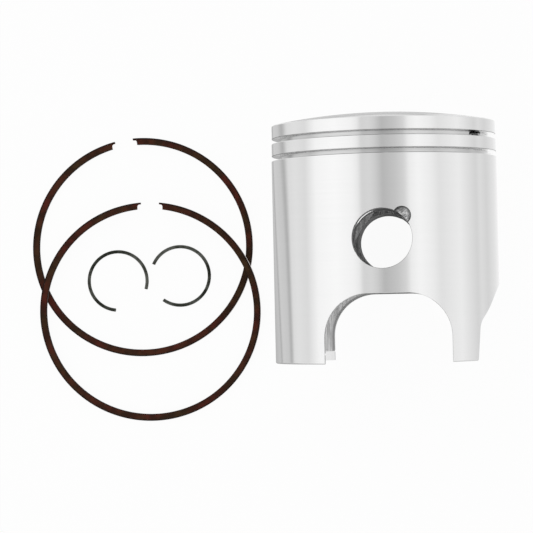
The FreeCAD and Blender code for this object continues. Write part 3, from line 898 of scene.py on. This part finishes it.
def pistonZones(part, rule, body, skirt, foot):
    # which finish each face takes, from where its middle is and which way it looks
    centres, normals = faceFacts(body)
    x, y, z = centres.T
    near, close = rule["near"], rule["close"]
    slope = np.abs(normals[:, 1])
    reach = np.hypot(x, z)
    fromBore = np.hypot(x, y)
    outwards = (normals * centres)[:, [0, 2]].sum(1) / reach
    crown = y > part["crownEdge"] - rule["crownDepth"]
    belt = (y > grooveLevels(part)[3] - rule["beltFoot"]) & (reach > part["grooveFloor"] - near)
    outside = (reach > skirt - rule["skirtDepth"]) & (outwards > rule["outward"]) | belt | crown
    sloped = belt & ~crown & (slope > rule["wall"]) & (slope < rule["flat"])
    corner = reach < part["grooveFloor"] + rule["cornerReach"]
    grooveShadeMask = sloped & np.where(corner, normals[:, 1] > 0, normals[:, 1] < 0)
    bore = (fromBore < part["circlipGroove"] + near) & (outwards < rule["boreOutward"])
    face = part["bossSpacing"] / 2 + part["bossRounding"] + rule["boreFaceDepth"]
    # the boss's inner face near the bore takes the bore's finish with its painted light
    bore |= (fromBore < part["boreFace"]) & (np.abs(z) < face)
    angle = math.radians(part["notchAngle"])
    fromNotch = np.hypot(x - part["bore"] * math.cos(angle), y - part["bore"] * math.sin(angle))
    notch = (fromNotch < part["notchRadius"] - rule["notchEdge"]) & ~outside
    notch &= np.abs(z) > skirt - part["notchDepth"] - rule["notchDepth"]
    notch &= (fromBore > part["bore"] + close) | (np.abs(normals[:, 2]) > rule["notchFloor"])
    zones = np.full(len(x), castZone)
    zones[reach > part["wall"] + near] = milledZone
    zones[outside] = turnedZone
    zones[(np.abs(reach - part["register"]) < near) & (outwards < rule["inward"])] = turnedZone
    zones[(reach < part["register"]) & (np.abs(y - foot - part["registerHeight"]) < close)] = turnedZone
    # painted shade on the edges over the ring grooves and in the corners of their floors
    zones[grooveShadeMask] = grooveShadeZone
    zones[bore & ~outside] = boreZone
    zones[notch] = notchZone
    return zones


def setTurnedNormals(part, rule, body, zones, apex):
    # on turned and bored faces each corner's normal is worked out: straight out from the axis on the lands
    # and skirt, away from the dome's own centre on the crown, in towards the bore's axis on its wall, and
    # left as it is elsewhere
    mesh = body.data
    corners = np.empty(len(mesh.loops), np.int32)
    mesh.loops.foreach_get("vertex_index", corners)
    totals = np.empty(len(mesh.polygons), np.int32)
    mesh.polygons.foreach_get("loop_total", totals)
    points = np.empty(len(mesh.vertices) * 3, np.float32)
    mesh.vertices.foreach_get("co", points)
    points = points.reshape(-1, 3)[corners] / millimetre
    centres, faces = faceFacts(body)
    centres = centres / millimetre
    near, turnedFace = rule["near"], zones == turnedZone
    outwards = (centres * faces)[:, [0, 2]].sum(1) / np.hypot(centres[:, 0], centres[:, 2])
    straight = turnedFace & (np.abs(faces[:, 1]) < rule["wall"]) & (outwards > rule["straightOut"])
    domed = turnedFace & (centres[:, 1] > part["crownEdge"] + near) & (faces[:, 1] > rule["domed"])
    fromBore = np.hypot(centres[:, 0], centres[:, 1])
    bored = (zones == boreZone) & (np.abs(faces[:, 2]) < rule["bored"])
    bored &= np.abs(fromBore - part["bore"]) < near
    rise, rim = apex - part["crownEdge"], part["topLand"]
    ball = (rim ** 2 + rise ** 2) / (2 * rise)
    tiny = 1e-9  # keeps a point on an axis from having no direction
    out = unit(points * (1, 0, 1) + (tiny, 0, 0))
    away = unit(points - (0, apex - ball, 0))
    inwards = unit(points * (-1, -1, 0) + (0, 0, tiny))
    normals = sum(facing * np.repeat(which, totals)[:, None]
                  for facing, which in ((out, straight), (away, domed), (inwards, bored)))
    mesh.normals_split_custom_set(normals.tolist())


makePiston(piston)


rings = {
    "halfWidth": 36.37,  # of the free oval, across and along the line through its gap
    "halfLength": 35.85,
    "wall": 2.2,
    "height": 1.5,
    "corner": 0.12,
    "gap": 6.1,
    "lipLength": 1.15,
    "lipThickness": 0.6,
    "reliefRadius": 0.6,
    "backTurn": 8.9,
    "frontTurn": -1.3,
    "seatGap": 0.05,  # between the two rings where the front one lies on the back one
    "steps": 361,
    "cornerSteps": 5,
    "innerRow": 0.4,  # how far from the inner face the last row of points on the flat faces is
}


def ringSection(part):
    # (depth from the outer face, height) round the section: along the top, then back along the bottom
    corner, wall, top = part["corner"], part["wall"], part["height"]
    turn = np.linspace(0, np.pi / 2, part["cornerSteps"])
    lip = part["lipThickness"]
    arc = lip + part["reliefRadius"] * (1 - np.cos(turn[1:]))
    outer = np.stack([corner * (1 - np.cos(turn)), top - corner * (1 - np.sin(turn))], -1)
    inner = np.stack([wall - corner * (1 - np.sin(turn)), top - corner * (1 - np.cos(turn))], -1)
    step = 0.01  # half the width of the lip's square end
    depths = [lip / 2, lip - step, lip + step, *arc, wall - part["innerRow"]]
    flat = np.array([(depth, top) for depth in depths])
    upper = np.vstack([outer, flat, inner])
    lower = upper[::-1] * (1, -1) + (0, top)
    return np.vstack([upper, lower])


def ringEnd(part, depth):
    # how far from the gap's middle the ring ends at each depth: a thin lip, then a rounded step back
    lip, radius = part["lipThickness"], part["reliefRadius"]
    step = part["gap"] / 2 + part["lipLength"]
    rise = np.sqrt(np.clip(radius ** 2 - np.clip(lip + radius - depth, 0, radius) ** 2, 0, None))
    return np.where(depth < lip, part["gap"] / 2, step - radius + rise)


def makeRing(part, name, node, turn, lift, tilt=0.0, hinge=0.0):
    # the section carried round the oval, every line of it ending where the lip's shape says, then turned
    # about z, tilted about a level line through the ring's middle, and put where its box is
    depth, height = ringSection(part).T
    wide, long = part["halfWidth"] - depth, part["halfLength"] - depth
    ends = np.arccos(ringEnd(part, depth) / wide)
    share = np.linspace(0, 1, part["steps"])[:, None]
    angle = ends - share * (np.pi + 2 * ends)
    points = np.stack([wide * np.cos(angle), long * np.sin(angle), height + 0 * angle], -1)
    points = points @ np.array(Matrix.Rotation(math.radians(turn), 3, "Z")).T
    points = points @ np.array(Matrix.Rotation(tilt, 3, (math.cos(hinge), math.sin(hinge), 0))).T
    across = cadBox(node)[0][:2] - points[..., :2].min((0, 1))
    points += (*across, lift)
    piece = closedSurface(name, points, ladder=True)
    mark = piece.data.attributes.new("depth", "FLOAT", "POINT")
    mark.data.foreach_set("value", np.tile(depth, len(share)).astype(np.float32))
    return piece


def dressRing(piece, node, finishes):
    # the outer face is bare lapped iron, and the rest is brown
    centres, normals = faceFacts(piece)
    low, high = cadBox(node)
    facing = ((centres - (low + high) / 2) * normals)[:, :2].sum(1)
    outward = (facing > 12) & (np.abs(normals[:, 2]) < 0.4)  # far out from the ring's middle, and steep
    finishPiece(piece, node, node, finishes, np.where(outward, 1, 0))
    piece.visible_glossy = False  # the polished skirt shows the studio's lights alone
    print(node + ":", len(piece.data.polygons), "faces")


def ovalCentre(part, node, turn):
    # the ring's middle on the table: the low corner of its box, and in by the turned oval's half extents
    spin = math.radians(turn)
    wide, long = part["halfWidth"], part["halfLength"]
    reachX = math.hypot(wide * math.cos(spin), long * math.sin(spin))
    reachY = math.hypot(wide * math.sin(spin), long * math.cos(spin))
    return cadBox(node)[0][:2] + (reachX, reachY)


def makeRings(part):
    # the front ring has one rim on the table and lies across the back ring: the sine of its tilt is a
    # ring's height over the span from that rim to the crossing
    finishes = [phosphate(part, brown), markedMetal("lapped iron", lapped)]
    table = cadBox("back_ring")[0][2]
    back = makeRing(part, "backRing", "back_ring", part["backTurn"], table)
    dressRing(back, "back_ring", finishes)
    long = part["halfLength"]
    shiftX, shiftY = (ovalCentre(part, "back_ring", part["backTurn"])
                      - ovalCentre(part, "front_ring", part["frontTurn"]))
    distance = math.hypot(shiftX, shiftY)
    span = long + distance / 2 - part["wall"] * long / distance
    tilt = math.asin((part["height"] + part["seatGap"]) / span)
    front = makeRing(part, "frontRing", "front_ring", part["frontTurn"], table + long * math.sin(tilt),
                     tilt, math.atan2(-shiftX, shiftY))
    dressRing(front, "front_ring", finishes)


makeRings(rings)


circlips = {
    "radius": 10.15,  # outer
    "wire": 1.1,
    "sweep": 282.0,
    "starts": {"left_circlip": -17.5, "right_circlip": 233.5},
    "endEdge": 0.08,
    "steps": 181,
    "around": 24,
}


def makeCirclip(part, name, node, finish):
    # round wire carried along a circle's arc, both ends cut square with a small broken edge
    low, high = cadBox(node)
    wire, edge = part["wire"] / 2, part["endEdge"]
    spine = part["radius"] - wire
    start, sweep = (math.radians(v) for v in (part["starts"][node], part["sweep"]))
    share = np.linspace(0, 1, part["steps"])
    angle = start + sweep * np.concatenate([[0], share, [1]])
    nudge = edge / spine
    angle[1] += nudge
    angle[-2] -= nudge
    thick = np.full(len(angle), wire)
    thick[[0, -1]] = wire - edge
    turn = np.arange(part["around"]) * 2 * np.pi / part["around"]
    reach = spine + thick[:, None] * np.cos(turn)
    points = np.stack([
        high[0] - part["radius"] + reach * np.cos(angle[:, None]),
        high[1] - part["radius"] + reach * np.sin(angle[:, None]),
        low[2] + wire + thick[:, None] * np.sin(turn) + 0 * reach,
    ], -1)
    piece = closedSurface(name, points)
    finishPiece(piece, node, node, [finish], np.zeros(len(piece.data.polygons)))
    piece.visible_glossy = False
    print(node + ":", len(piece.data.polygons), "faces")


wireFinish = springWire(oiled)
makeCirclip(circlips, "leftCirclip", "left_circlip", wireFinish)
makeCirclip(circlips, "rightCirclip", "right_circlip", wireFinish)


pinFinish = pinSteel(piston, ground)
for node in ("upper_ring_pin", "lower_ring_pin"):
    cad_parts[node].data.materials.clear()
    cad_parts[node].data.materials.append(pinFinish)
print("ring pins: dressed")


studio = {
    "lens": 160.3,
    "cameraPlace": (22.61, -20.83, 739.9),
    "cameraTurn": (0.0167, 0.0813, -0.0219),  # radians
    "floorSize": 2000.0,
    "floorGlow": 0.95,  # how much of the floor that the camera sees is plain white
    "floorColour": 0.9,
    "endLow": 0.4,  # brightness towards the two ends of the room, at the floor and at the ceiling
    "endHigh": 1.0,
    "endFade": (0.6, 0.95),  # how far along the axis a direction points where the ends take over
    "lean": 250.0,  # how many degrees the lowest strips turn from one end of the room to the other
    "leanFrom": -150.0,
    "leanTo": -95.0,
    # brightness of the room round the y axis: (degrees from straight up towards +x, level)
    "strips": [
        (-180, 0.44), (-163, 0.50), (-146, 0.58), (-142, 0.40), (-138, 0.65), (-121, 0.61),
        (-115, 0.42), (-110, 0.76), (-101, 0.80),
        (-86, 0.75), (-72, 0.97), (-50, 1.02), (-31, 0.96), (-25, 0.88), (-21, 0.69), (-13, 0.72), (-7, 0.65),
        (0, 0.50), (13, 0.59), (22, 0.70), (27, 0.90), (36, 0.98), (50, 0.90), (59, 0.80), (68, 0.84),
        (83, 0.90), (95, 0.80), (108, 0.70), (115, 0.77), (128, 0.70), (180, 0.62),
    ],
}


def makeFloor(part):
    # seen straight it is nearly white and keeps a soft shadow, and reflections pass through it
    table = cadBox("back_ring")[0][2]
    corners = np.array([(-1, -1, 0), (1, -1, 0), (1, 1, 0), (-1, 1, 0)]) * part["floorSize"] + (0, 0, table)
    floor = makeMesh("floor", corners * millimetre, [(0, 1, 2, 3)])
    finish = Finish(bpy.data.materials.new("pale floor"))
    camera, glossy = finish.add("ShaderNodeLightPath", out=("Is Camera Ray", "Is Glossy Ray"))
    matt = finish.add("ShaderNodeBsdfDiffuse", {}, {"Color": paint(part["floorColour"])})
    glow = finish.add("ShaderNodeEmission", {}, {"Color": paint(1.0), "Strength": 1.0})
    clear = finish.add("ShaderNodeBsdfTransparent")
    seen = finish.add("ShaderNodeMixShader", {}, {0: camera * part["floorGlow"], 1: matt, 2: glow})
    mixed = finish.add("ShaderNodeMixShader", {}, {0: glossy, 1: seen, 2: clear})
    finish.add("ShaderNodeOutputMaterial", {}, {"Surface": mixed})
    floor.data.materials.append(finish.owner)
    print("floor: at", round(table, 2), "mm")


def makeStudio(part):
    # long strips of light and shade parallel to the piston's axis, where the lowest lean across it, and a
    # plain fade from floor to ceiling at the two ends of the room
    world = bpy.data.worlds.new("studio")
    bpy.context.scene.world = world
    light = Finish(world)
    x, y, z = light.split(light.add("ShaderNodeTexCoord", out="Generated"))
    angle = light.maths("ARCTAN2", x, z)
    lean = 1 - angle.ramp(math.radians(part["leanFrom"]), math.radians(part["leanTo"]))
    angle = angle + y * lean * math.radians(part["lean"])
    stops = [(degrees / 360 + 0.5, paint(level)) for degrees, level in part["strips"]]
    bands = light.add("ShaderNodeValToRGB", {"stops": stops}, {0: angle / (2 * math.pi) + 0.5})
    ends = light.blend(z * 0.5 + 0.5, part["endLow"], part["endHigh"])
    room = light.blend(light.maths("ABSOLUTE", y).ramp(*part["endFade"]), bands, ends)
    camera = light.add("ShaderNodeLightPath", out="Is Camera Ray")
    seen = light.blend(camera, room, 1.0)
    shader = light.add("ShaderNodeBackground", {}, {"Color": seen, "Strength": 1.0})
    light.add("ShaderNodeOutputWorld", {}, {"Surface": shader})
    print("studio:", len(stops), "strips")


def makeCamera(part):
    data = bpy.data.cameras.new("camera")
    data.lens = part["lens"]
    camera = bpy.data.objects.new("camera", data)
    camera.location = np.array(part["cameraPlace"]) * millimetre
    camera.rotation_euler = part["cameraTurn"]
    bpy.context.scene.collection.objects.link(camera)
    bpy.context.scene.camera = camera
    print("camera: at", part["cameraPlace"], "mm")


makeFloor(studio)
makeStudio(studio)
makeCamera(studio)
bpy.context.scene.view_settings.view_transform = "Standard"
